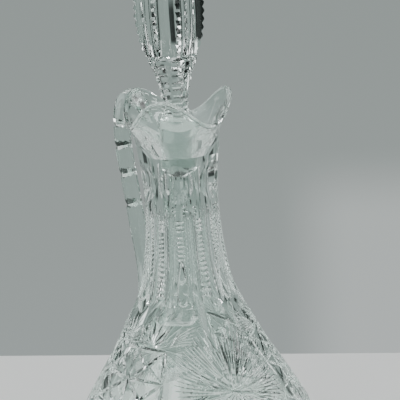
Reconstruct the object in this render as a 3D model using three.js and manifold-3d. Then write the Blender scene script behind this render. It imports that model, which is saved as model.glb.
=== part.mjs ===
// Cut-glass jug decanter with an applied notched handle and a lift-out stopper.
// Millimetres, +Z up. The origin is the centre of the foot on the table plane.
// The front pouring dip of the mouth is at +X and the handle is at -X.

import * as THREE from "three";
import { mergeVertices } from "three/addons/utils/BufferGeometryUtils.js";
import Module from "manifold-3d";

const wasm = await Module();
wasm.setup();

// ---- driving dimensions ------------------------------------------------------

const GAP = 0.3;              // clearance between separate pieces of glass
const COLUMNS = 60;           // facets around the jug

// jug, outside
const FOOT_RECESS_R = 45;     // recess under the base, inside the foot ring
const FOOT_RECESS_H = 2.5;
const FOOT_R = 60;            // outer edge of the flat foot ring
const BELLY_R = 76;           // widest radius of the bowl
const BELLY_Z = 30;
const SHOULDER_Z = 116;       // where the bowl passes into the neck
const SHOULDER_R = 36.8;
const NECK_R = 20.8;          // narrowest outer radius of the neck
const NECK_Z = 192;
const COLLAR_R = 23;          // outer radius where the mouth begins to flare
const COLLAR_Z = 218;

// jug, inside
const FLOOR_Z = 13;           // thickness of the base at its centre
const WALL = 8.5;             // wall of the bowl
const BORE_R = 10.8;          // neck bore below the ground seat
const SEAT_TOP_Z = 214;       // the ground seat ends here and the inside opens into a funnel

// mouth: three raised petals with three pouring dips between them
const LIP_COUNT = 3;
const RIM_R = 30.1;           // mean radius of the rim
const RIM_R_SWING = 1.9;      // petals stand out and dips stand in by this much
const RIM_Z = 240.6;          // mean height of the rim
const RIM_Z_SWING = 7.9;      // petals rise and dips fall by this much
const RIM_THICK = 3.4;

// flutes cut round the neck
const FLUTE_COUNT = 12;
const FLUTE_DEPTH = 1.3;
const FLUTE_LOW_Z = 131;      // rounded lower ends
const FLUTE_HIGH_Z = 172;     // flutes stop below the step rings
const FLUTE_RUNOUT = 5;       // length over which a flute fades at each end

// stopper
const PLUG_LOW_Z = 203;
const PLUG_HIGH_Z = 226;
const PLUG_LOW_R = 10.0;
const PLUG_HIGH_R = 10.7;
const PLUG_TIP = 5;           // height of the plug's rounded lower end
const WAIST_R = 7.6;
const WAIST_Z = 243;
const FINIAL_R = 19.6;        // radius over the ridges at the widest place
const FINIAL_Z = 294;
const TOP_Z = 330;            // overall height
const RIDGE_COUNT = 4;
const RIDGE_TURN = 58;        // degrees from +X to the first ridge at rest
const HOLLOW_SHARE = 0.38;    // how far the panels sink between ridges, as a share of the radius

// handle
const HANDLE_HALF_WIDTH = 4.8;    // across the bar, along Y
const HANDLE_HALF_DEPTH = 4.7;    // in the plane of the loop
const NOTCH_DEPTH = 4.2;
const NOTCH_HALF_LENGTH = 3.3;
const NOTCH_SPOTS = [0.25, 0.329, 0.431, 0.539];   // shares of the handle's length

const rad = THREE.MathUtils.degToRad;
const smooth = THREE.MathUtils.smoothstep;
const mix = THREE.MathUtils.lerp;

// ---- helpers -----------------------------------------------------------------

// A closed body of stacked rings. ringsAt(angle) gives the same number of [radius, height]
// points for every angle; the first and last lie on the axis and become single points.
function ringSolid(ringsAt, columns) {
  const count = ringsAt(0).length;
  const positions = [];
  for (let i = 0; i < count; i++) {
    for (let j = 0; j < columns; j++) {
      const angle = (2 * Math.PI * j) / columns;
      const [r, z] = ringsAt(angle)[i];
      positions.push(r * Math.cos(angle), r * Math.sin(angle), z);
    }
  }
  const index = [];
  for (let i = 0; i < count - 1; i++) {
    for (let j = 0; j < columns; j++) {
      const next = (j + 1) % columns;
      const a = i * columns + j;
      const b = i * columns + next;
      const c = (i + 1) * columns + next;
      const d = (i + 1) * columns + j;
      if (i > 0) index.push(a, b, c);
      if (i === 0) index.push(a, c, d);
      else if (i < count - 2) index.push(a, c, d);
    }
  }
  const geometry = new THREE.BufferGeometry();
  geometry.setAttribute("position", new THREE.Float32BufferAttribute(positions, 3));
  geometry.setIndex(index);
  return mergeVertices(geometry, 1e-5);
}

// A closed bar swept along a curve in the XZ plane. sizeAt(share) gives [half width, half depth].
function sweptBar(curve, sizeAt, steps, sides) {
  const positions = [];
  for (let i = 0; i <= steps; i++) {
    const share = i / steps;
    const centre = curve.getPointAt(share);
    const along = curve.getTangentAt(share);
    const out = new THREE.Vector3(-along.z, 0, along.x);
    const [halfWidth, halfDepth] = sizeAt(share);
    for (let j = 0; j < sides; j++) {
      const turn = (2 * Math.PI * (j + 0.5)) / sides;
      const point = centre.clone().addScaledVector(out, halfDepth * Math.cos(turn));
      positions.push(point.x, point.y + halfWidth * Math.sin(turn), point.z);
    }
  }
  const index = [];
  for (let i = 0; i < steps; i++) {
    for (let j = 0; j < sides; j++) {
      const next = (j + 1) % sides;
      const a = i * sides + j;
      const b = i * sides + next;
      const c = (i + 1) * sides + next;
      const d = (i + 1) * sides + j;
      index.push(a, c, b, a, d, c);
    }
  }
  for (let j = 1; j < sides - 1; j++) {
    index.push(0, j, j + 1);
    const last = steps * sides;
    index.push(last, last + j + 1, last + j);
  }
  const geometry = new THREE.BufferGeometry();
  geometry.setAttribute("position", new THREE.Float32BufferAttribute(positions, 3));
  geometry.setIndex(index);
  return geometry;
}

function toManifold(source) {
  const bare = source.index ? source.clone() : source;
  bare.deleteAttribute("normal");
  bare.deleteAttribute("uv");
  const merged = mergeVertices(bare, 1e-4);
  return new wasm.Manifold(new wasm.Mesh({
    numProp: 3,
    vertProperties: new Float32Array(merged.attributes.position.array),
    triVerts: new Uint32Array(merged.index.array),
  }));
}

function fromManifold(solid) {
  const mesh = solid.getMesh();
  const geometry = new THREE.BufferGeometry();
  geometry.setAttribute("position", new THREE.Float32BufferAttribute(mesh.vertProperties, 3));
  geometry.setIndex(Array.from(mesh.triVerts));
  return geometry;
}

// Points along a smooth curve through [radius, height] pairs.
function smoothOutline(pairs, steps) {
  const curve = new THREE.SplineCurve(pairs.map(([r, z]) => new THREE.Vector2(r, z)));
  return curve.getSpacedPoints(steps).map((p) => [p.x, p.y]);
}

function bend(start, middle, end, steps) {
  const curve = new THREE.QuadraticBezierCurve(
    new THREE.Vector2(...start), new THREE.Vector2(...middle), new THREE.Vector2(...end));
  return curve.getPoints(steps).map((p) => [p.x, p.y]);
}

// ---- jug body ----------------------------------------------------------------

function rimAt(angle) {
  const lobe = Math.cos(LIP_COUNT * angle);
  return [RIM_R - RIM_R_SWING * lobe, RIM_Z - RIM_Z_SWING * lobe];
}

// how far a neck flute is sunk at this angle and height
function fluteSink(angle, z) {
  const across = Math.abs(Math.sin((FLUTE_COUNT * angle) / 2));
  const low = smooth(z, FLUTE_LOW_Z - FLUTE_RUNOUT, FLUTE_LOW_Z + FLUTE_RUNOUT);
  const high = 1 - smooth(z, FLUTE_HIGH_Z - FLUTE_RUNOUT, FLUTE_HIGH_Z + FLUTE_RUNOUT);
  return FLUTE_DEPTH * across * low * high;
}

const bowlOutline = smoothOutline([
  [FOOT_R, 0], [BELLY_R - 6, 7], [BELLY_R - 1, 18], [BELLY_R, BELLY_Z], [BELLY_R - 2, 46],
  [67, 62], [57, 80], [44.9, 100], [SHOULDER_R, SHOULDER_Z],
], 12);

const neckOutline = smoothOutline([
  [SHOULDER_R, SHOULDER_Z], [32.1, 125], [26.9, 137], [24.1, 150], [22, 165],
  [NECK_R + 0.3, 179], [NECK_R, NECK_Z], [NECK_R + 1, 206], [COLLAR_R, COLLAR_Z],
], 16);

function outsideRings(angle) {
  const [rimR, rimZ] = rimAt(angle);
  const foot = [[0, FOOT_RECESS_H], [FOOT_RECESS_R - 2, FOOT_RECESS_H], [FOOT_RECESS_R, 0]];
  const neck = neckOutline.map(([r, z]) => [r - fluteSink(angle, z), z]);
  const flare = bend([COLLAR_R, COLLAR_Z], [COLLAR_R + 1, mix(COLLAR_Z, rimZ, 0.62)],
    [rimR, rimZ - RIM_THICK / 2], 5);
  return [...foot, ...bowlOutline, ...neck.slice(1), ...flare.slice(1)];
}

function insideRings(angle) {
  const [rimR, rimZ] = rimAt(angle);
  const innerR = rimR - RIM_THICK;
  const seatR = PLUG_HIGH_R + GAP;
  const funnel = bend([innerR, rimZ - RIM_THICK / 2], [seatR + 6.5, SEAT_TOP_Z + 13],
    [seatR, SEAT_TOP_Z], 6);
  const seat = [[PLUG_LOW_R + GAP, PLUG_LOW_Z]];
  const cavity = smoothOutline([
    [PLUG_LOW_R + GAP, PLUG_LOW_Z - 1], [BORE_R, 188], [BORE_R + 1.6, 155], [15.5, 138], [22.5, 122],
    [34, 103], [47.5, 82], [58, 62], [BELLY_R - 2 - WALL, 44], [BELLY_R - WALL, BELLY_Z],
    [62, FLOOR_Z + 5], [50, FLOOR_Z + 1],
  ], 18);
  return [...funnel, ...seat, ...cavity, [0, FLOOR_Z]];
}

function jugRings(angle) {
  const [rimR, rimZ] = rimAt(angle);
  const half = RIM_THICK / 2;
  const lip = [
    [rimR - half * 0.35, rimZ - half * 0.35],
    [rimR - half, rimZ],
    [rimR - half * 1.65, rimZ - half * 0.35],
  ];
  return [...outsideRings(angle), ...lip, ...insideRings(angle)];
}

// the jug's outside grown by the gap and filled in, used to trim the ends of the handle
function jugKeepOut(angle) {
  const [rimR, rimZ] = rimAt(angle);
  const grown = outsideRings(angle).slice(3).map(([r, z]) => [r + GAP * 1.5, z]);
  return [[0, -1], [FOOT_R, -1], ...grown, [rimR - RIM_THICK, rimZ + 1], [0, RIM_Z]];
}

// ---- handle ------------------------------------------------------------------

const handleCurve = new THREE.CatmullRomCurve3([
  [-20, 229], [-26, 238], [-33, 243], [-40.3, 240], [-43.8, 229], [-44, 214], [-41.8, 198],
  [-39.6, 184], [-37.6, 170], [-36, 156], [-35, 140], [-36, 122], [-37.5, 106],
].map(([x, z]) => new THREE.Vector3(x, 0, z)), false, "centripetal");

function handleSize(share) {
  const slim = smooth(share, 0.6, 0.85);
  const foot = smooth(share, 0.88, 1);
  const size = 1 - 0.28 * slim + 0.35 * foot;
  return [HANDLE_HALF_WIDTH * size, HANDLE_HALF_DEPTH * size];
}

// a wedge across the bar that leaves a V notch in its outer edge
function notchWedge(share) {
  const shape = new THREE.Shape();
  const far = HANDLE_HALF_DEPTH + 2;
  const spread = (NOTCH_HALF_LENGTH * (NOTCH_DEPTH + 2)) / NOTCH_DEPTH;
  shape.moveTo(-spread, far);
  shape.lineTo(0, HANDLE_HALF_DEPTH - NOTCH_DEPTH);
  shape.lineTo(spread, far);
  shape.closePath();
  const depth = 4 * HANDLE_HALF_WIDTH;
  const wedge = new THREE.ExtrudeGeometry(shape, { depth, bevelEnabled: false });
  wedge.translate(0, 0, -depth / 2);
  const along = handleCurve.getTangentAt(share);
  const out = new THREE.Vector3(along.z, 0, -along.x);
  const across = new THREE.Vector3().crossVectors(along, out);
  const place = new THREE.Matrix4().makeBasis(along, out, across);
  place.setPosition(handleCurve.getPointAt(share));
  wedge.applyMatrix4(place);
  return wedge;
}

function handleGeometry() {
  let solid = toManifold(sweptBar(handleCurve, handleSize, 40, 12));
  for (const share of NOTCH_SPOTS) {
    solid = solid.subtract(toManifold(notchWedge(share)));
  }
  return fromManifold(solid.subtract(toManifold(ringSolid(jugKeepOut, COLUMNS))));
}

// ---- stopper -----------------------------------------------------------------

const finialOutline = smoothOutline([
  [PLUG_HIGH_R - 0.6, PLUG_HIGH_Z + 2], [WAIST_R + 0.5, 234], [WAIST_R, WAIST_Z], [9.5, 255],
  [13.3, 266], [17.6, 277], [FINIAL_R, FINIAL_Z], [17.5, 311], [10.5, 324],
], 18);

function stopperRings(angle) {
  const fromRidge = (RIDGE_COUNT * (angle - rad(RIDGE_TURN))) / 2;
  const sunk = HOLLOW_SHARE * Math.abs(Math.sin(fromRidge));
  const finial = finialOutline.map(([r, z]) => {
    const share = sunk * smooth(z, WAIST_Z, WAIST_Z + 12);
    return [r * (1 - share), z];
  });
  const tip = [0, 30, 60, 90].map((turn) =>
    [PLUG_LOW_R * Math.sin(rad(turn)), PLUG_LOW_Z + PLUG_TIP * (1 - Math.cos(rad(turn)))]);
  return [...tip, [PLUG_HIGH_R, PLUG_HIGH_Z], ...finial, [0, TOP_Z]];
}

// ---- assembly ----------------------------------------------------------------

function glass(name, geometry, color, roughness) {
  const material = new THREE.MeshStandardMaterial({ color, roughness, metalness: 0 });
  geometry.computeVertexNormals();
  const mesh = new THREE.Mesh(geometry, material);
  mesh.name = name;
  return mesh;
}

const decanter = new THREE.Group();
decanter.add(glass("jug_body", ringSolid(jugRings, COLUMNS), 0xdfe8e4, 0.03));
decanter.add(glass("handle", handleGeometry(), 0xd6e2dd, 0.04));
decanter.add(glass("stopper", ringSolid(stopperRings, 36), 0xe4ebea, 0.03));

export default decanter;
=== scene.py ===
"""Cut-glass jug decanter: the looks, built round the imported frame.

Shapes are worked out in millimetres, +Z up, and new_object turns them into metres.
A place on the jug's outside is given by its turn round the axis (0 at the front dip) and its height.
"""

import math

import bpy
import numpy as np
from mathutils import Matrix, Vector


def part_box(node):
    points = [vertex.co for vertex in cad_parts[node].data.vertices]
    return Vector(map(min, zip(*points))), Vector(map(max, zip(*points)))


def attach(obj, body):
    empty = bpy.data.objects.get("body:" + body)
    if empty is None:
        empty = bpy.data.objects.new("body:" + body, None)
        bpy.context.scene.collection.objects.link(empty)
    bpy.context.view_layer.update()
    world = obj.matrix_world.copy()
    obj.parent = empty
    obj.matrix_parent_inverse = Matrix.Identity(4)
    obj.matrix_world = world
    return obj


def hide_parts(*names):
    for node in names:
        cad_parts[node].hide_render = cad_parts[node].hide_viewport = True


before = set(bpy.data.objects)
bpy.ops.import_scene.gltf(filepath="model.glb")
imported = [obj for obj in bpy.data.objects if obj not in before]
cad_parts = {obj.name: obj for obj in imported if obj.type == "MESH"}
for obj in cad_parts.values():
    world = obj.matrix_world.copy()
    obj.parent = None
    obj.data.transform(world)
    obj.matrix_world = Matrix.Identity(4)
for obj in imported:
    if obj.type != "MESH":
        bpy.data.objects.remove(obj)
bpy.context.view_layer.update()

MM = 0.001

# ---- sizes shared with the frame ------------------------------------------------

_, jug_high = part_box("jug_body")
stopper_low, stopper_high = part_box("stopper")

BELLY_R = jug_high[0] / MM - 0.1    # the glass stays just inside the frame's box
RIM_TOP = jug_high[2] / MM
PLUG_LOW_Z = stopper_low[2] / MM
TOP_Z = stopper_high[2] / MM

FOOT_R = 60
FOOT_RECESS_R = 45
FOOT_RECESS_H = 2.5
SHOULDER_R, SHOULDER_Z = 36.8, 116
COLLAR_R, COLLAR_Z = 23, 218
LIP_COUNT = 3
RIM_R, RIM_R_SWING = 30.1, 1.9
RIM_Z_SWING = 7.9
RIM_Z = RIM_TOP - RIM_Z_SWING
RIM_THICK = 3.4
FLOOR_Z = 13
WALL = 8.5
BORE_R = 10.8
PLUG_HIGH_Z = 226
PLUG_LOW_R, PLUG_HIGH_R = 10.0, 10.7
PLUG_TIP = 5                        # height of the plug's rounded lower end
SEAT_TOP_Z = 214                    # the ground seat ends here and the inside opens into a funnel
GAP = 0.3
WAIST_R, WAIST_Z = 7.6, 243
FINIAL_R, FINIAL_Z = 19.6, 294

# ---- the cutting ------------------------------------------------------------------

CUT_LIFT = 0.6                      # a cutter stands this far out of the uncut surface

FLUTE_COUNT = 12
FLUTE_STEP = 360 / FLUTE_COUNT
FLUTE_TURN = 23.5                   # degrees from the front dip to the first flute
FLUTE_WHEEL_R = 8
FLUTE_DEPTH = 1.4
FLUTE_LOW_Z, FLUTE_HIGH_Z = 131, 186
FLUTE_FADE = 8                      # the ends of a flute run out over this height
RUNG_HEIGHTS = (174.5, 177, 179.5)
RUNG_HALF_WIDTH = 4.2
RUNG_DEPTH, RUNG_SLOPE = 1.3, 0.8
PANEL_WHEEL_R = 55                  # the broad panels below the collar, one over every second strip
PANEL_DEPTH = 2.7
PANEL_LOW_Z, PANEL_HIGH_Z = 189, 212
PANEL_FADE = 11

BEAD_HIGH_Z = 171
BEAD_PITCH = 2.6
BEAD_SLOPE = 1.1
BEAD_GROWTH = 36                    # beads grow to full size over this height, from the top down
PEAR_LOW_Z, PEAR_HIGH_Z = 133.6, 157.5
PEAR_HALF_WIDTH = 4.4
PEAR_DEPTH, PEAR_SLOPE = 1.1, 0.8
SCALLOP_Z = 127
SCALLOP_TURN = 41                   # degrees from a star to the scallop on either side of it
SCALLOP_HALF_WIDTH = 15
SCALLOP_WHEEL_R = 11

STAR_COUNT = 2
STAR_TURN = -19                     # degrees from the front dip to the first star
STAR_Z = 89
STAR_RAYS = 16
STAR_R = 38
STAR_SKEW = 0.15                    # the star is turned by this share of the step between its rays
RAY_DEPTH, RAY_SLOPE = 1.5, 0.95
FEATHER_COUNT = 4                   # fine lines between two rays
FEATHER_DEPTH, FEATHER_SLOPE = 0.62, 1.05
FAN_LINES = 6
EDGE_DEPTH, EDGE_SLOPE = 1.8, 0.8   # the lines round the cells of a crossed panel
DIAGONAL_DEPTH, DIAGONAL_SLOPE = 1.3, 0.95
SPLIT_COUNT = 48                    # upright cuts round the foot
BASE_RAYS = 24
CROSSED_TURN = STAR_TURN + 180 / STAR_COUNT
CROSSED_ROWS = [                    # low edge, high edge, degrees across a cell, number of cells
    (95, 110.5, 28, 3), (78, 95, 28, 3), (60, 78, 19, 5), (42, 60, 17, 7),
]


# ---- camera -------------------------------------------------------------------------

VIEW_TURN = math.radians(43.4)      # the front dip points this far towards the camera
VIEW_HEIGHT = math.radians(14.5)
VIEW_ROLL = math.radians(3.59)
VIEW_DISTANCE = 0.694
AIM = Vector((0, 0, 0.1861))
ASIDE = 0.0103                      # the jug stands this far left of the middle of the view
LENS = 111.06

VIEW_BACK = Vector((
    math.sin(VIEW_TURN) * math.cos(VIEW_HEIGHT),
    -math.cos(VIEW_TURN) * math.cos(VIEW_HEIGHT),
    math.sin(VIEW_HEIGHT),
))
VIEW_RIGHT = Vector((math.cos(VIEW_TURN), math.sin(VIEW_TURN), 0))


def make_camera():
    facing = Matrix((VIEW_RIGHT, VIEW_BACK.cross(VIEW_RIGHT), VIEW_BACK)).transposed()
    roll = Matrix.Rotation(-VIEW_ROLL, 3, "Z")
    data = bpy.data.cameras.new("camera")
    data.lens = LENS
    data.clip_start = 0.05
    camera = bpy.data.objects.new("camera", data)
    stand = AIM + VIEW_RIGHT * ASIDE + VIEW_BACK * VIEW_DISTANCE
    camera.matrix_world = Matrix.Translation(stand) @ (facing @ roll).to_4x4()
    bpy.context.scene.collection.objects.link(camera)
    bpy.context.scene.camera = camera


# ---- mesh helpers ---------------------------------------------------------------------

def new_object(name, points, faces):
    """A mesh object from points in millimetres."""
    mesh = bpy.data.meshes.new(name)
    mesh.from_pydata([tuple(c * MM for c in p) for p in points], [], faces)
    mesh.validate()
    return bpy.data.objects.new(name, mesh)


def ring_solid(name, rings_at, columns):
    """A closed body of stacked rings; the first and last rings are single points on the axis."""
    rings = [rings_at(2 * math.pi * j / columns) for j in range(columns)]
    count = len(rings[0])
    points = [(0, 0, rings[0][0][1])]
    for i in range(1, count - 1):
        for j in range(columns):
            angle = 2 * math.pi * j / columns
            r, z = rings[j][i]
            points.append((r * math.cos(angle), r * math.sin(angle), z))
    points.append((0, 0, rings[0][-1][1]))
    last = len(points) - 1
    faces = []
    for j in range(columns):
        k = (j + 1) % columns
        faces.append((0, 1 + k, 1 + j))
        for i in range(count - 3):
            a = 1 + i * columns
            b = a + columns
            faces.append((a + j, a + k, b + k, b + j))
        a = 1 + (count - 3) * columns
        faces.append((a + j, a + k, last))
    return new_object(name, points, faces)


def loft(name, sections, closed=False):
    """A body through sections, each a loop of points that runs anticlockwise seen from behind."""
    count = len(sections)
    sides = len(sections[0])
    points = [p for section in sections for p in section]
    faces = []
    for i in range(count if closed else count - 1):
        a = i * sides
        b = (i + 1) % count * sides
        for j in range(sides):
            k = (j + 1) % sides
            faces.append((a + k, a + j, b + j, b + k))
    if not closed:
        faces.append(tuple(range(sides)))
        faces.append(tuple(reversed(range((count - 1) * sides, count * sides))))
    return new_object(name, points, faces)


def smooth_outline(pairs, steps):
    """Evenly spaced points on a Catmull-Rom curve through pairs of numbers."""
    p = np.array([pairs[0]] + list(pairs) + [pairs[-1]], float)
    dense = []
    for i in range(len(pairs) - 1):
        a, b, c, d = p[i:i + 4]
        for t in np.linspace(0, 1, 24, endpoint=False):
            dense.append(0.5 * (2 * b + (c - a) * t + (2 * a - 5 * b + 4 * c - d) * t ** 2
                                + (3 * b - a - 3 * c + d) * t ** 3))
    dense = np.array(dense + [p[-1]])
    run = np.concatenate([[0], np.cumsum(np.linalg.norm(np.diff(dense, axis=0), axis=1))])
    even = np.linspace(0, run[-1], steps + 1)
    return [(float(np.interp(s, run, dense[:, 0])), float(np.interp(s, run, dense[:, 1])))
            for s in even]


def bend(start, middle, end, steps):
    """Points on a quadratic curve."""
    out = []
    for t in np.linspace(0, 1, steps + 1):
        out.append(tuple((1 - t) ** 2 * a + 2 * t * (1 - t) * b + t * t * c
                         for a, b, c in zip(start, middle, end)))
    return out


def mix(a, b, t):
    return a + (b - a) * t


def rise(t):
    """Goes smoothly from 0 to 1 as t does, and stays there."""
    t = min(max(t, 0), 1)
    return t * t * (3 - 2 * t)


# ---- cutters ------------------------------------------------------------------------------

def directions(stations, closed):
    """The way forward at each station."""
    spots = [station[0] for station in stations]
    count = len(spots)
    out = []
    for i in range(count):
        before = spots[i - 1] if closed or i else spots[0]
        after = spots[(i + 1) % count] if closed or i < count - 1 else spots[-1]
        out.append((after - before).normalized())
    return out


def mitre(stations, slope=1.0, closed=False):
    """A V-shaped cutter along stations of (point, outward normal, depth).

    slope is the half width of the groove over its depth.
    """
    sections = []
    for (point, normal, depth), forward in zip(stations, directions(stations, closed)):
        right = forward.cross(normal).normalized()
        top = point + normal * CUT_LIFT
        half = right * slope * (depth + CUT_LIFT)
        sections.append((point - normal * depth, top + half, top - half))
    return loft("mitre", sections, closed)


def wheel_cut(stations, radius, sides=40):
    """A round cutter of that radius, sunk by each station's depth."""
    sections = []
    for (point, normal, depth), forward in zip(stations, directions(stations, False)):
        right = forward.cross(normal).normalized()
        centre = point + normal * (radius - depth)
        section = []
        for t in np.linspace(0, 2 * math.pi, sides, endpoint=False):
            section.append(centre + right * radius * math.cos(t) + normal * radius * math.sin(t))
        sections.append(section)
    return loft("wheel_cut", sections)


def cut(body, cutters):
    """Takes every cutter out of the body."""
    group = bpy.data.collections.new("cutters")
    bpy.context.scene.collection.children.link(group)
    for cutter in cutters:
        group.objects.link(cutter)
    bpy.context.scene.collection.objects.link(body)
    change = body.modifiers.new("cuts", "BOOLEAN")
    change.operation = "DIFFERENCE"
    change.operand_type = "COLLECTION"
    change.collection = group
    change.solver = "MANIFOLD"
    seen = body.evaluated_get(bpy.context.evaluated_depsgraph_get())
    result = bpy.data.meshes.new_from_object(seen)
    body.modifiers.clear()
    body.data = result
    for cutter in cutters:
        bpy.data.meshes.remove(cutter.data)
    bpy.data.collections.remove(group)
    bpy.context.scene.collection.objects.unlink(body)


# ---- the jug's outline ------------------------------------------------------------------------

BOWL = smooth_outline([
    (FOOT_R, 0), (BELLY_R - 6, 7), (BELLY_R - 1, 18), (BELLY_R, 30), (BELLY_R - 2, 46),
    (67, 62), (57, 80), (44.9, 100), (SHOULDER_R, SHOULDER_Z),
], 44)
NECK = smooth_outline([
    (SHOULDER_R, SHOULDER_Z), (32.1, 125), (26.9, 137), (24.1, 150), (22, 165), (21.1, 179),
    (20.8, 192), (21.8, 206), (COLLAR_R, COLLAR_Z),
], 44)
SIDE_R = [r for r, z in BOWL + NECK[1:]]
SIDE_Z = [z for r, z in BOWL + NECK[1:]]


def rim_at(angle):
    lobe = math.cos(LIP_COUNT * angle)
    return RIM_R - RIM_R_SWING * lobe, RIM_Z - RIM_Z_SWING * lobe


def flare_at(angle, steps):
    rim_r, rim_z = rim_at(angle)
    return bend((COLLAR_R, COLLAR_Z), (COLLAR_R + 1, mix(COLLAR_Z, rim_z, 0.62)),
                (rim_r, rim_z - RIM_THICK / 2), steps)


def jug_rings(angle):
    rim_r, rim_z = rim_at(angle)
    half = RIM_THICK / 2
    foot = [(0, FOOT_RECESS_H), (FOOT_RECESS_R - 2, FOOT_RECESS_H), (FOOT_RECESS_R, 0),
            (FOOT_R - 1, 0)]
    lip = [(rim_r - half + half * math.cos(t), rim_z - half + half * math.sin(t))
           for t in np.linspace(0.3, math.pi - 0.3, 8)]
    inner_r = rim_r - RIM_THICK
    seat_r = PLUG_HIGH_R + GAP
    funnel = bend((inner_r, rim_z - half), (seat_r + 6.5, SEAT_TOP_Z + 13), (seat_r, SEAT_TOP_Z), 18)
    seat = [(PLUG_LOW_R + GAP, PLUG_LOW_Z)]
    cavity = smooth_outline([
        (PLUG_LOW_R + GAP, PLUG_LOW_Z - 1), (BORE_R, 188), (BORE_R + 1.6, 155), (15.5, 138), (22.5, 122),
        (34, 103), (47.5, 82), (58, 62), (BELLY_R - 2 - WALL, 44), (BELLY_R - WALL, 30),
        (62, FLOOR_Z + 5), (50, FLOOR_Z + 1),
    ], 44)
    return (foot + BOWL + NECK[1:] + flare_at(angle, 14)[1:] + lip + funnel + seat + cavity
            + [(0, FLOOR_Z)])


def filled_jug_rings(angle):
    """The jug's outside a little shrunk and filled in: what the handle's ends are cut back to."""
    sunk = 0.15
    rim_r, rim_z = rim_at(angle)
    side = [(r - sunk, z) for r, z in BOWL + NECK[1:] + flare_at(angle, 14)[1:]]
    return [(0, 0)] + side + [(rim_r - RIM_THICK, rim_z), (0, RIM_Z)]


def on_jug(turn, z):
    """The point of the jug's uncut side at a turn in radians and a height, and its normal."""
    r = float(np.interp(z, SIDE_Z, SIDE_R))
    slope = float(np.interp(z + 1, SIDE_Z, SIDE_R) - np.interp(z - 1, SIDE_Z, SIDE_R)) / 2
    out = Vector((math.cos(turn), math.sin(turn), 0))
    return out * r + Vector((0, 0, z)), (out - Vector((0, 0, slope))).normalized()


def flat_patch(turn, z):
    """Lays a flat sheet against the jug at a place: gives the point under (across, up)."""
    centre, normal = on_jug(turn, z)
    across = Vector((-math.sin(turn), math.cos(turn), 0))
    up = normal.cross(across)

    def place(u, v):
        spot = centre + across * u + up * v
        return on_jug(math.atan2(spot.y, spot.x), spot.z)

    return place


def line_on(place, start, end, depth, sink=rise, steps=8):
    """Stations from start to end on a patch; sink(0..1..0) shapes the depth towards each end."""
    out = []
    for t in np.linspace(0, 1, steps + 1):
        point, normal = place(mix(start[0], end[0], t), mix(start[1], end[1], t))
        near_end = min(t, 1 - t)
        out.append((point, normal, depth * sink(near_end * 4)))
    return out


def needle(t):
    """A long point: the depth grows all the way to the middle."""
    return math.sqrt(min(t / 2, 1))


# ---- cuts on the neck ------------------------------------------------------------------------

def flute_turns():
    return [math.radians(FLUTE_TURN + FLUTE_STEP * k) for k in range(FLUTE_COUNT)]


def strip_turns():
    return [turn + math.radians(FLUTE_STEP / 2) for turn in flute_turns()]


def hollow_up_the_neck(turn, low_z, high_z, radius, depth, fade, sides=40):
    """A long hollow with rounded ends, cut upright on the neck."""
    stations = []
    for z in np.linspace(low_z - 3, high_z + 3, 34):
        point, normal = on_jug(turn, z)
        ends = rise((z - low_z + 2) / fade) * rise((high_z + 2 - z) / fade)
        stations.append((point, normal, mix(-0.4, depth, ends)))
    return wheel_cut(stations, radius, sides)


def neck_flutes():
    return [hollow_up_the_neck(turn, FLUTE_LOW_Z, FLUTE_HIGH_Z, FLUTE_WHEEL_R, FLUTE_DEPTH,
                               FLUTE_FADE)
            for turn in flute_turns()]


def neck_panels():
    return [hollow_up_the_neck(turn, PANEL_LOW_Z, PANEL_HIGH_Z, PANEL_WHEEL_R, PANEL_DEPTH,
                               PANEL_FADE, sides=180)
            for turn in strip_turns()[1::2]]


def rungs(turn):
    """Three short steps across a strip, above its beads."""
    places = [flat_patch(turn, z) for z in RUNG_HEIGHTS]
    left, right = (-RUNG_HALF_WIDTH, 0), (RUNG_HALF_WIDTH, 0)
    return [mitre(line_on(at, left, right, RUNG_DEPTH, needle), RUNG_SLOPE) for at in places]


def beads(turn, low_z, high_z):
    """Notches across the strip between two flutes, which leave a row of beads."""
    cutters = []
    z = high_z
    while z > low_z:
        grown = rise((BEAD_HIGH_Z - z) / BEAD_GROWTH)
        half = mix(1.8, 4.2, grown)
        place = flat_patch(turn, z)
        depth = mix(0.85, 1.35, grown)
        cutters.append(mitre(line_on(place, (-half, 0), (half, 0), depth), BEAD_SLOPE))
        z -= BEAD_PITCH * mix(0.92, 1.3, grown)
    return cutters


def pear(turn):
    """A pear-shaped loop cut round the wide end of a strip."""
    stations = []
    steps = 36
    for k in range(steps):
        t = 2 * math.pi * k / steps
        down = (1 - math.cos(t)) / 2
        z = mix(PEAR_HIGH_Z, PEAR_LOW_Z, down)
        half = PEAR_HALF_WIDTH * math.sin(t) * mix(0.28, 1.12, down ** 1.2)
        point, normal = flat_patch(turn, z)(half, 0)
        stations.append((point, normal, PEAR_DEPTH))
    return mitre(stations, PEAR_SLOPE, closed=True)


def neck_strips():
    cutters = []
    for k, turn in enumerate(strip_turns()):
        if k % 2:
            cutters += beads(turn, PEAR_HIGH_Z + 1, BEAD_HIGH_Z)
            cutters.append(pear(turn))
        else:
            cutters += beads(turn, PEAR_LOW_Z + 1.5, BEAD_HIGH_Z)
        cutters += rungs(turn)
    return cutters


def shoulder_scallops():
    """Broad lens-shaped hollows below the ends of the flutes."""
    cutters = []
    for k in range(STAR_COUNT):
        for side in (-1, 1):
            turn = math.radians(STAR_TURN + 360 / STAR_COUNT * k + SCALLOP_TURN * side)
            place = flat_patch(turn, SCALLOP_Z)
            left, right = (-SCALLOP_HALF_WIDTH, 1.5), (SCALLOP_HALF_WIDTH, 1.5)
            stations = line_on(place, left, right, 1.5, steps=16)
            cutters.append(wheel_cut([(p, n, d - 0.25) for p, n, d in stations], SCALLOP_WHEEL_R))
    return cutters


# ---- cuts on the bowl -------------------------------------------------------------------------

def star_turns():
    return [math.radians(STAR_TURN + 360 / STAR_COUNT * k) for k in range(STAR_COUNT)]


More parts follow.
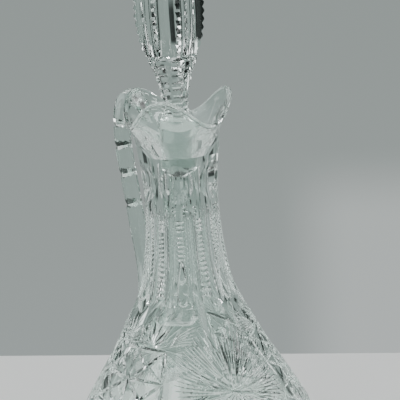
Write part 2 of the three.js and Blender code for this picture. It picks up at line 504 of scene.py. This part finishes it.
def crossed_turns():
    return [CROSSED_TURN + 360 / STAR_COUNT * k for k in range(STAR_COUNT)]


def ray(place, angle, inner, outer, depth, slope):
    start = (inner * math.cos(angle), inner * math.sin(angle))
    end = (outer * math.cos(angle), outer * math.sin(angle))
    return mitre(line_on(place, start, end, depth, needle, 10), slope)


def star(turn):
    """A star of long pointed rays with feathers of fine lines between them."""
    place = flat_patch(turn, STAR_Z)
    cutters = []
    for k in range(STAR_RAYS):
        angle = 2 * math.pi * (k + STAR_SKEW) / STAR_RAYS
        long = STAR_R if k % 2 else STAR_R - 5
        cutters.append(ray(place, angle, 1.2, long, RAY_DEPTH, RAY_SLOPE))
        for j in range(1, FEATHER_COUNT + 1):
            share = j / (FEATHER_COUNT + 1)
            feather = angle + 2 * math.pi * share / STAR_RAYS
            tip = STAR_R + 3.5 - 22 * (share - 0.5) ** 2
            inner = 9 + 3.5 * (j % 2)
            cutters.append(ray(place, feather, inner, tip, FEATHER_DEPTH, FEATHER_SLOPE))
    return cutters


def corner_fans(turn):
    """Fans of curved lines that spring from the corners of the square round the star."""
    place = flat_patch(turn, STAR_Z)
    cutters = []
    for side in (-1, 1):
        for tilt in (-1, 1):
            root = Vector((side * 37, tilt * 28))
            for j in range(FAN_LINES):
                t = j / (FAN_LINES - 1)
                tip = Vector((side * mix(12, 14, t), tilt * mix(40, 29.5, t)))
                middle = (root + tip) / 2 + Vector((0, tilt * 3.2))
                stations = []
                for s, (u, v) in zip(np.linspace(0, 1, 11), bend(root, middle, tip, 10)):
                    point, normal = place(u, v)
                    stations.append((point, normal, 0.85 * needle(4 * min(s, 1 - s))))
                cutters.append(mitre(stations, 1.1))
    return cutters


def crossed_line(start, end, depth, slope):
    """A cut between two places on the bowl, each given by its turn in degrees and its height."""
    stations = []
    for t in np.linspace(0, 1, 9):
        point, normal = on_jug(math.radians(mix(start[0], end[0], t)), mix(start[1], end[1], t))
        stations.append((point, normal, depth * mix(0.45, 1, rise(5 * min(t, 1 - t)))))
    return mitre(stations, slope)


def crossed_panel(turn):
    """Rows of cells with crossed diagonals, filling the space between two stars."""
    edges = set()
    diagonals = []
    for low, high, width, count in CROSSED_ROWS:
        for k in range(count):
            left = round(turn + width * (k - count / 2), 3)
            right = round(left + width, 3)
            edges |= {(left, low, right, low), (left, low, left, high), (right, low, right, high)}
            diagonals += [(left, low, right, high), (left, high, right, low)]
            if high == CROSSED_ROWS[0][1]:
                edges.add((left, high, right, high))
    cutters = [crossed_line(edge[:2], edge[2:], EDGE_DEPTH, EDGE_SLOPE) for edge in sorted(edges)]
    cutters += [crossed_line(line[:2], line[2:], DIAGONAL_DEPTH, DIAGONAL_SLOPE)
                for line in diagonals]
    return cutters


def panel_fans(turn):
    """Small fans on the top edge of a crossed panel, one over each cell."""
    _, high, width, count = CROSSED_ROWS[0]
    cutters = []
    for k in range(count):
        place = flat_patch(math.radians(turn + width * (k + 0.5 - count / 2)), high + 1.5)
        for angle in np.linspace(0.22, math.pi - 0.22, 9):
            reach = mix(9, 15, math.sin(angle))
            start = (2 * math.cos(angle), 2 * math.sin(angle))
            end = (reach * math.cos(angle), reach * math.sin(angle))
            cutters.append(mitre(line_on(place, start, end, 0.9, needle), 1.0))
    return cutters


def foot_splits():
    """Upright cuts round the foot."""
    cutters = []
    for k in range(SPLIT_COUNT):
        turn = 2 * math.pi * k / SPLIT_COUNT
        stations = []
        for t in np.linspace(0, 1, 9):
            point, normal = on_jug(turn, mix(4, 25, t))
            stations.append((point, normal, 1.6 * needle(4 * min(t, 1 - t))))
        cutters.append(mitre(stations, 1.2))
    return cutters


def base_star():
    """Rays cut under the base, in the recess."""
    down = Vector((0, 0, -1))
    cutters = []
    for k in range(BASE_RAYS):
        angle = 2 * math.pi * k / BASE_RAYS
        stations = []
        for t in np.linspace(0, 1, 7):
            r = mix(1.5, FOOT_RECESS_R - 4, t)
            point = Vector((r * math.cos(angle), r * math.sin(angle), FOOT_RECESS_H))
            stations.append((point, down, mix(0.2, 1.6, t) * needle(4 * (1 - t) + 0.2)))
        cutters.append(mitre(stations, 0.9))
    return cutters


# ---- materials ------------------------------------------------------------------------------------

def link(material, source, target):
    material.node_tree.links.new(source, target)


def add_node(material, kind, **values):
    node = material.node_tree.nodes.new(kind)
    for key, value in values.items():
        if key in node.inputs:
            node.inputs[key].default_value = value
        else:
            setattr(node, key, value)
    return node


GROUND_ROUGHNESS = 0.14
SHADOW_TINT = (0.94, 0.965, 0.955, 1)
CORD_TINT = 0.985                   # the darker cords have this share of the glass's colour
JUG_TINT = (0.93, 0.998, 0.97)
HANDLE_TINT = (0.912, 0.985, 0.955)
STOPPER_TINT = (0.92, 0.986, 0.96)


def crystal(name, tint, ground=None):
    """Clear cut crystal. ground gives the heights in metres between which it is ground matt."""
    material = bpy.data.materials.new(name)
    material.use_nodes = True
    shader = material.node_tree.nodes["Principled BSDF"]
    shader.inputs["IOR"].default_value = 1.54
    shader.inputs["Transmission Weight"].default_value = 1.0
    place = add_node(material, "ShaderNodeTexCoord")

    # cords of slightly different glass, and the tint of thick crystal
    cords = add_node(material, "ShaderNodeTexNoise", Scale=38, Detail=3)
    link(material, place.outputs["Object"], cords.inputs["Vector"])
    colour = add_node(material, "ShaderNodeValToRGB")
    colour.color_ramp.elements[0].position = 0.3
    colour.color_ramp.elements[0].color = (*[c * CORD_TINT for c in tint], 1)
    colour.color_ramp.elements[1].position = 0.7
    colour.color_ramp.elements[1].color = (*tint, 1)
    link(material, cords.outputs["Fac"], colour.inputs["Fac"])
    link(material, colour.outputs["Color"], shader.inputs["Base Color"])

    # faint smears left by hands
    smears = add_node(material, "ShaderNodeTexNoise", Scale=85, Detail=5, Roughness=0.6)
    link(material, place.outputs["Object"], smears.inputs["Vector"])
    gloss = add_node(material, "ShaderNodeMapRange")
    for socket, value in (("From Min", 0.45), ("From Max", 0.8), ("To Min", 0.0), ("To Max", 0.05)):
        gloss.inputs[socket].default_value = value
    link(material, smears.outputs["Fac"], gloss.inputs["Value"])
    rough = gloss.outputs["Result"]
    if ground:
        height = add_node(material, "ShaderNodeSeparateXYZ")
        link(material, place.outputs["Object"], height.inputs["Vector"])
        above = add_node(material, "ShaderNodeMath", operation="GREATER_THAN")
        above.inputs[1].default_value = ground[0]
        below = add_node(material, "ShaderNodeMath", operation="LESS_THAN")
        below.inputs[1].default_value = ground[1]
        for test in (above, below):
            link(material, height.outputs["Z"], test.inputs[0])
        both = add_node(material, "ShaderNodeMath", operation="MULTIPLY")
        link(material, above.outputs[0], both.inputs[0])
        link(material, below.outputs[0], both.inputs[1])
        matt = add_node(material, "ShaderNodeMath", operation="MULTIPLY_ADD")
        link(material, both.outputs[0], matt.inputs[0])
        matt.inputs[1].default_value = GROUND_ROUGHNESS
        link(material, rough, matt.inputs[2])
        rough = matt.outputs[0]
    link(material, rough, shader.inputs["Roughness"])

    # the slight waviness of hand-polished glass
    waves = add_node(material, "ShaderNodeTexNoise", Scale=90, Detail=1)
    link(material, place.outputs["Object"], waves.inputs["Vector"])
    bump = add_node(material, "ShaderNodeBump", Strength=0.06, Distance=0.0004)
    link(material, waves.outputs["Fac"], bump.inputs["Height"])
    link(material, bump.outputs["Normal"], shader.inputs["Normal"])

    # lamps shine through the glass, so that it casts the light shadow of clear crystal
    rays = add_node(material, "ShaderNodeLightPath")
    clear = add_node(material, "ShaderNodeBsdfTransparent")
    clear.inputs["Color"].default_value = SHADOW_TINT
    either = add_node(material, "ShaderNodeMixShader")
    output = material.node_tree.nodes["Material Output"]
    link(material, rays.outputs["Is Shadow Ray"], either.inputs[0])
    link(material, shader.outputs[0], either.inputs[1])
    link(material, clear.outputs[0], either.inputs[2])
    link(material, either.outputs[0], output.inputs["Surface"])
    return material


# ---- pieces ---------------------------------------------------------------------------------------------

def place_piece(obj, body, node, material):
    bpy.context.scene.collection.objects.link(obj)
    obj.data.materials.clear()
    obj.data.materials.append(material)
    obj.data.shade_smooth()
    obj.data.set_sharp_from_angle(angle=math.radians(18))
    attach(obj, body)
    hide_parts(node)


def make_jug():
    jug = ring_solid("cut_jug", jug_rings, 180)
    cutters = neck_flutes() + neck_panels() + neck_strips() + shoulder_scallops()
    for turn in star_turns():
        cutters += star(turn) + corner_fans(turn)
    for turn in crossed_turns():
        cutters += crossed_panel(turn) + panel_fans(turn)
    cut(jug, cutters + foot_splits() + base_star())
    place_piece(jug, "jug", "jug_body", crystal("jug_crystal", JUG_TINT))


# handle

HANDLE_PATH = [
    (-20, 229), (-26, 238), (-33, 243), (-40.3, 240), (-43.8, 229), (-44, 214), (-41.8, 198),
    (-39.6, 184), (-37.6, 170), (-36, 156), (-35, 140), (-36, 122), (-37.5, 106),
]
HANDLE_HALF_WIDTH = 4.8
HANDLE_HALF_DEPTH = 4.7
NOTCH_HEIGHTS = (228, 215, 198.5, 181)
NOTCH_DEPTH = 4.2
NOTCH_SLOPE = 0.78
HANDLE_EDGES = 8                    # the bar is cut to long flat sides
HANDLE_PROUD = 1.04                 # its edges stand this much further out than its size


def handle_size(share):
    slim = rise((share - 0.6) / 0.25)
    foot = rise((share - 0.88) / 0.12)
    size = 1 - 0.28 * slim + 0.35 * foot
    return HANDLE_HALF_WIDTH * size, HANDLE_HALF_DEPTH * size


def make_handle():
    path = [Vector((x, 0, z)) for x, z in smooth_outline(HANDLE_PATH, 90)]
    forwards = directions([(p,) for p in path], False)
    side = Vector((0, 1, 0))
    sections = []
    cutters = []
    notches = list(NOTCH_HEIGHTS)
    for i, (centre, forward) in enumerate(zip(path, forwards)):
        out = Vector((forward.z, 0, -forward.x))
        half_width, half_depth = handle_size(i / (len(path) - 1))
        section = []
        for t in np.linspace(0, 2 * math.pi, 4 * HANDLE_EDGES, endpoint=False):
            flat = math.cos(math.pi / HANDLE_EDGES)
            flat /= math.cos((t % (2 * math.pi / HANDLE_EDGES)) - math.pi / HANDLE_EDGES)
            u = math.cos(t) * mix(flat, 1, 0.25)
            v = math.sin(t) * mix(flat, 1, 0.25)
            section.append(centre + side * half_width * u * HANDLE_PROUD
                           + out * half_depth * v * HANDLE_PROUD)
        sections.append(section)
        if notches and out.x < -0.8 and centre.z < notches[0]:
            notches.pop(0)
            crest = centre + out * half_depth
            stations = [(crest + side * s, out, NOTCH_DEPTH) for s in (-8, 0, 8)]
            cutters.append(mitre(stations, NOTCH_SLOPE))
    handle = loft("notched_handle", sections)
    cut(handle, cutters + [ring_solid("filled_jug", filled_jug_rings, 180)])
    place_piece(handle, "jug", "handle", crystal("handle_crystal", HANDLE_TINT))


# stopper

FINIAL = smooth_outline([
    (PLUG_HIGH_R - 0.6, PLUG_HIGH_Z + 2), (WAIST_R + 0.5, 234), (WAIST_R, WAIST_Z), (9.5, 255),
    (13.3, 266), (17.6, 277), (FINIAL_R, FINIAL_Z), (17.5, 311), (10.5, 324), (0, TOP_Z),
], 60)
RIDGE_COUNT = 4
RIDGE_TURN = 58                     # degrees from the front dip to the first ridge at rest
SERRATION = 4.5                     # height from one serration to the next
SERRATION_DEPTH, SERRATION_SLOPE = 1.1, 1.6
STOPPER_WHEEL_R = 30
STEM_TOP_Z = 266                    # the hollows step back here, and go on shallower down the stem
STEM_SHARE = 0.5


def stopper_rings(angle):
    tip = [(PLUG_LOW_R * math.sin(t), PLUG_LOW_Z + PLUG_TIP * (1 - math.cos(t)))
           for t in np.linspace(0, math.pi / 2, 9)]
    return tip + [(PLUG_HIGH_R, PLUG_HIGH_Z)] + FINIAL


def on_finial(turn, z):
    rs = [r for r, height in FINIAL]
    zs = [height for r, height in FINIAL]
    r = float(np.interp(z, zs, rs))
    slope = float(np.interp(z + 1, zs, rs) - np.interp(z - 1, zs, rs)) / 2
    out = Vector((math.cos(turn), math.sin(turn), 0))
    return out * r + Vector((0, 0, z)), (out - Vector((0, 0, slope))).normalized()


def land_width(z):
    """The width of the serrated band left along each ridge."""
    return mix(1.0, 1.8, rise((z - 256) / 26))


def finial_flutes():
    """Deep hollows between the ridges, just wide enough to leave each its band."""
    cutters = []
    for k in range(RIDGE_COUNT):
        turn = math.radians(RIDGE_TURN + 360 / RIDGE_COUNT * (k + 0.5))
        out = Vector((math.cos(turn), math.sin(turn), 0))
        stations = []
        for z in np.linspace(230, 329, 90):
            r = on_finial(turn, z)[0].xy.length
            half = math.pi / RIDGE_COUNT - land_width(z) / 2 / r
            reach = r * math.cos(half)
            reach += math.sqrt(STOPPER_WHEEL_R ** 2 - (r * math.sin(half)) ** 2)
            depth = (r + STOPPER_WHEEL_R - reach) * rise((z - 231) / 9) * rise((331 - z) / 12)
            depth *= mix(STEM_SHARE, 1, rise((z - STEM_TOP_Z) / 3))
            stations.append((out * r + Vector((0, 0, z)), out, depth - 0.1))
        cutters.append(wheel_cut(stations, STOPPER_WHEEL_R, 90))
    return cutters


def serrations():
    """Notches across the band of each ridge."""
    cutters = []
    for k in range(RIDGE_COUNT):
        turn = math.radians(RIDGE_TURN + 360 / RIDGE_COUNT * k)
        for z in np.arange(235, 324, SERRATION):
            r = on_finial(turn, z)[0].xy.length
            reach = (land_width(z) / 2 + 3) / r
            stations = [(*on_finial(turn + reach * t, z), SERRATION_DEPTH)
                        for t in (-1, -0.5, 0, 0.5, 1)]
            cutters.append(mitre(stations, SERRATION_SLOPE))
    return cutters


def make_stopper():
    stopper = ring_solid("cut_stopper", stopper_rings, 120)
    cut(stopper, finial_flutes() + serrations())
    ground = (PLUG_LOW_Z * MM, PLUG_HIGH_Z * MM)
    place_piece(stopper, "stopper", "stopper",
                crystal("stopper_crystal", STOPPER_TINT, ground))


# ---- stage ----------------------------------------------------------------------------------------

TABLE_BACK = 0.234                  # from the jug's axis to the table's back edge
TABLE_TURN = math.radians(35)
TABLE_COLOUR = (0.86, 0.885, 0.875)
TABLE_ROUGHNESS = 0.9
MIRRORED_FLOOR_HEIGHT = 0.0004


def flat_material(name, colour, roughness):
    material = bpy.data.materials.new(name)
    material.use_nodes = True
    shader = material.node_tree.nodes["Principled BSDF"]
    shader.inputs["Base Color"].default_value = (*colour, 1)
    shader.inputs["Roughness"].default_value = roughness
    return material


def table_sheet(name, left, right, front, height=0.0):
    """A flat sheet of table top that ends at the table's back edge."""
    corners = [(left, front), (right, front), (right, TABLE_BACK), (left, TABLE_BACK)]
    turned = Matrix.Rotation(TABLE_TURN, 2)
    points = [(*(turned @ Vector(corner) / MM), height / MM) for corner in corners]
    sheet = new_object(name, points, [(0, 1, 2, 3)])
    bpy.context.scene.collection.objects.link(sheet)
    sheet.data.materials.append(flat_material(name + "_paint", TABLE_COLOUR, TABLE_ROUGHNESS))
    return sheet


def make_stage():
    """The floor that is seen, and a smaller sheet of it that the glass bends into view."""
    floor = table_sheet("floor", -1.8, 1.8, -1.6)
    floor.visible_transmission = False
    floor.visible_glossy = False
    mirrored = table_sheet("mirrored_floor", -0.42, 0.5, -0.3, MIRRORED_FLOOR_HEIGHT)
    mirrored.visible_camera = False
    mirrored.visible_diffuse = False
    mirrored.visible_shadow = False


def area_lamp(name, place_at, look_at, size, power):
    data = bpy.data.lights.new(name, "AREA")
    data.shape = "RECTANGLE"
    data.size, data.size_y = size
    data.energy = power
    lamp = bpy.data.objects.new(name, data)
    lamp.location = place_at
    lamp.rotation_mode = "QUATERNION"
    lamp.rotation_quaternion = (Vector(look_at) - Vector(place_at)).to_track_quat("-Z", "Y")
    bpy.context.scene.collection.objects.link(lamp)


def toward(turn, height):
    """The direction at a turn and a height, both in degrees."""
    turn, height = math.radians(turn), math.radians(height)
    return Vector((math.cos(turn) * math.cos(height), math.sin(turn) * math.cos(height),
                   math.sin(height)))


# Patches of the room round the jug: turn, half width, lowest and highest height in degrees, and for a
# window or the glow its brightness. Only the glass sees the dark corners and windows. The glow is on
# the wall itself, so the camera sees it too.
DARK_CORNERS = [
    (-50, 13, -50, 30), (167, 15, -9, 2.5), (116, 6, -7, 1), (25, 7, -40, 45), (-114, 9, -40, 9),
    (88, 5, -35, 50), (-60, 85, -89, -14),
]
WINDOWS = [
    (-150, 6, 24, 46, 4.0), (-108, 8, 15, 44, 4.0), (-75, 7, 35, 70, 4.0), (56, 5, 14, 32, 3.5),
    (179, 6, 4.5, 12, 1.5), (-15, 5, 5, 40, 3.0),
]
GLOW = (115, 13, -60, -14, 0.17)    # the wall is a little brighter low down on one side
ROOM_SHINE = (1.03, 1.08, 1.06)     # the glass mirrors a little more light than the wall itself shows
CORNER_DARKNESS = 0.97
PATCH_SOFTNESS = 0.03
CEILING_START, CEILING_END = 17, 30  # the mirrored room darkens between these heights in degrees
MIX_COLOUR_A, MIX_COLOUR_B, MIX_COLOUR_OUT = 6, 7, 2   # the colour sockets of a Mix node
WALL_TONES = [                      # height as a share from 30 degrees below to 30 above the horizon
    (0.14, (0.36, 0.40, 0.395)), (0.22, (0.345, 0.385, 0.375)), (0.37, (0.32, 0.362, 0.35)),
    (0.7, (0.292, 0.335, 0.322)), (0.84, (0.14, 0.155, 0.15)),
]


def make_room():
    """A pale grey wall that brightens towards the table, and what else there is to mirror."""
    world = bpy.data.worlds.new("room")
    bpy.context.scene.world = world
    world.use_nodes = True
    nodes, links = world.node_tree.nodes, world.node_tree.links
    way = nodes.new("ShaderNodeTexCoord").outputs["Generated"]
    split = nodes.new("ShaderNodeSeparateXYZ")
    links.new(way, split.inputs[0])
    flat = nodes.new("ShaderNodeCombineXYZ")
    links.new(split.outputs["X"], flat.inputs["X"])
    links.new(split.outputs["Y"], flat.inputs["Y"])
    level = nodes.new("ShaderNodeVectorMath")
    level.operation = "NORMALIZE"
    links.new(flat.outputs[0], level.inputs[0])

    def step(value, start, end, top=1.0):
        """Rises smoothly from 0 to top as the value goes from start to end."""
        ramp = nodes.new("ShaderNodeMapRange")
        ramp.interpolation_type = "SMOOTHSTEP"
        ramp.inputs["From Min"].default_value = start
        ramp.inputs["From Max"].default_value = end
        ramp.inputs["To Max"].default_value = top
        links.new(value, ramp.inputs["Value"])
        return ramp.outputs["Result"]

    def join(kind, a, b):
        node = nodes.new("ShaderNodeVectorMath")
        node.operation = kind
        links.new(a, node.inputs[0])
        links.new(b, node.inputs[1])
        return node.outputs[0]

    def patch(turn, half, lowest, highest, top=1.0):
        facing = nodes.new("ShaderNodeVectorMath")
        facing.operation = "DOT_PRODUCT"
        links.new(level.outputs[0], facing.inputs[0])
        facing.inputs[1].default_value = toward(turn, 0)
        height = split.outputs["Z"]
        side = step(facing.outputs["Value"], math.cos(math.radians(half * 1.15)),
                    math.cos(math.radians(half * 0.85)), top)
        low = math.sin(math.radians(lowest))
        high = math.sin(math.radians(highest))
        above = step(height, low - PATCH_SOFTNESS, low + PATCH_SOFTNESS)
        below = step(height, high + PATCH_SOFTNESS, high - PATCH_SOFTNESS)
        return join("MULTIPLY", side, join("MULTIPLY", above, below))

    ramp = nodes.new("ShaderNodeValToRGB")
    span = nodes.new("ShaderNodeMapRange")
    span.inputs["From Min"].default_value = -0.5
    span.inputs["From Max"].default_value = 0.5
    links.new(split.outputs["Z"], span.inputs["Value"])
    links.new(span.outputs["Result"], ramp.inputs["Fac"])
    ends = (WALL_TONES[0], WALL_TONES[-1])
    for element, (position, colour) in zip(ramp.color_ramp.elements, ends):
        element.position = position
        element.color = (*colour, 1)
    for position, colour in WALL_TONES[1:-1]:
        ramp.color_ramp.elements.new(position).color = (*colour, 1)
    wall = join("ADD", ramp.outputs["Color"], patch(*GLOW))
    ceiling = step(split.outputs["Z"], math.sin(math.radians(CEILING_START)),
                   math.sin(math.radians(CEILING_END)))
    shine = nodes.new("ShaderNodeVectorMath")
    shine.operation = "MULTIPLY"
    links.new(wall, shine.inputs[0])
    shine.inputs[1].default_value = ROOM_SHINE
    light = shine.outputs[0]
    for dark in [ceiling] + [patch(*corner) for corner in DARK_CORNERS]:
        shade = nodes.new("ShaderNodeVectorMath")
        shade.operation = "MULTIPLY_ADD"
        links.new(dark, shade.inputs[0])
        shade.inputs[1].default_value = (-CORNER_DARKNESS, -CORNER_DARKNESS, -CORNER_DARKNESS)
        shade.inputs[2].default_value = (1, 1, 1)
        light = join("MULTIPLY", light, shade.outputs[0])
    for window in WINDOWS:
        light = join("ADD", light, patch(*window))
    seen = nodes.new("ShaderNodeLightPath")
    either = nodes.new("ShaderNodeMix")
    either.data_type = "RGBA"
    links.new(seen.outputs["Is Camera Ray"], either.inputs["Factor"])
    links.new(light, either.inputs[MIX_COLOUR_A])
    links.new(wall, either.inputs[MIX_COLOUR_B])
    links.new(either.outputs[MIX_COLOUR_OUT], nodes["Background"].inputs["Color"])


def make_lights():
    """Two small lamps for the sparkle of the cuts."""
    area_lamp("key", (-1.1, -1.2, 1.5), (0, 0, 0.15), (0.3, 0.3), 30)
    area_lamp("fill", (1.2, 0.9, 1.3), (0, 0, 0.15), (0.2, 0.5), 18)


def lengthen_light_paths():
    """Light in cut crystal is turned back many times before it gets out.

    Refracted light patterns on the table are left out, because they come out as a false halo.
    """
    cycles = bpy.context.scene.cycles
    cycles.max_bounces = 40
    cycles.transmission_bounces = 40
    cycles.glossy_bounces = 20
    cycles.caustics_refractive = False


make_camera()
make_stage()
make_room()
make_lights()
lengthen_light_paths()
make_jug()
make_handle()
make_stopper()
